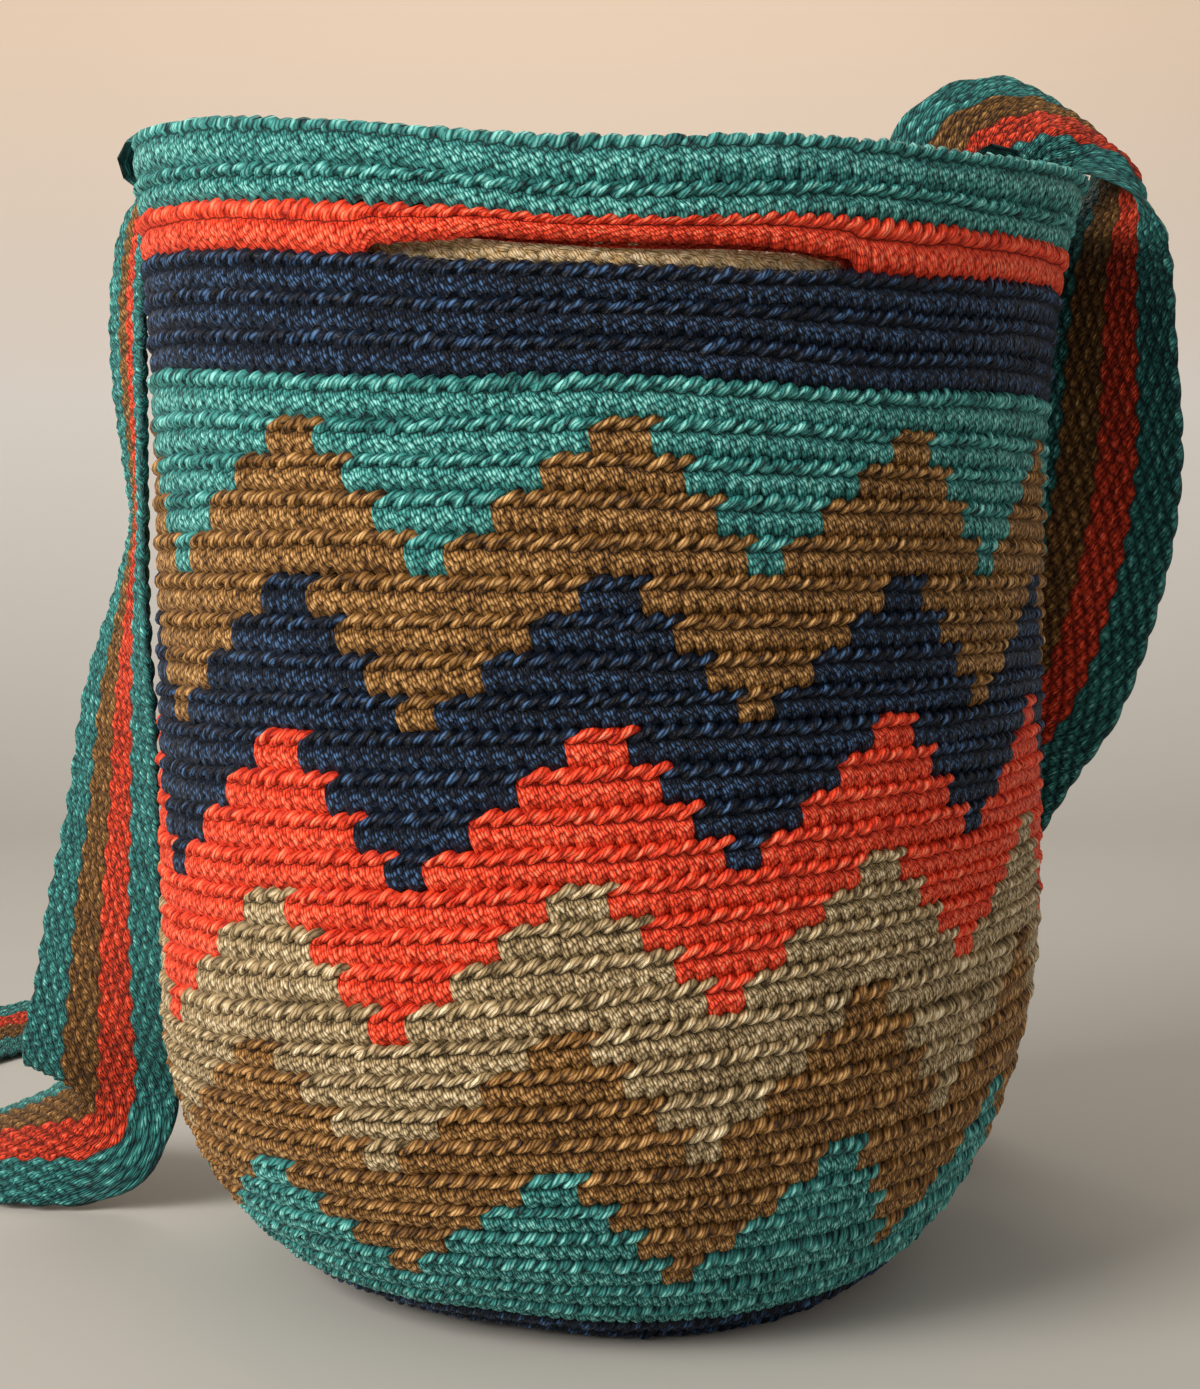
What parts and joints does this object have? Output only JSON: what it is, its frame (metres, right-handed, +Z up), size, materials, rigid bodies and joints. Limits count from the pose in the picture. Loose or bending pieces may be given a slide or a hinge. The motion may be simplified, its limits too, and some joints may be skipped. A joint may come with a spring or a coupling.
{
  "type": "crocheted shoulder bag",
  "caption": "Round crocheted shoulder bag standing open on a flat base, with a stepped zig-zag pattern, a woven strap lying in a loop and a drawstring through slots below the rim.",
  "frame": {"origin": "middle of the flat underside of the base", "axes": "+Z up out of the open top; -Y towards the front, where the drawstring crosses the front slot; +X towards the side where the strap arches over the rim"},
  "size_m": [0.4707, 0.4386, 0.3476],
  "materials": {
    "pouch": "matte crocheted yarn in teal, navy, coral, brown and khaki",
    "strap": "matte woven yarn in teal, coral and brown stripes",
    "seam": "matte sewing yarn",
    "cord": "matte plaited cotton cord"
  },
  "bodies": {
    "root": {"pouch": "pouch", "strap": "strap", "strap_seam_right": "seam", "strap_seam_left": "seam", "drawstring": "cord", "tail_end_left": "cord", "tail_end_right": "cord"}
  },
  "joints": []
}
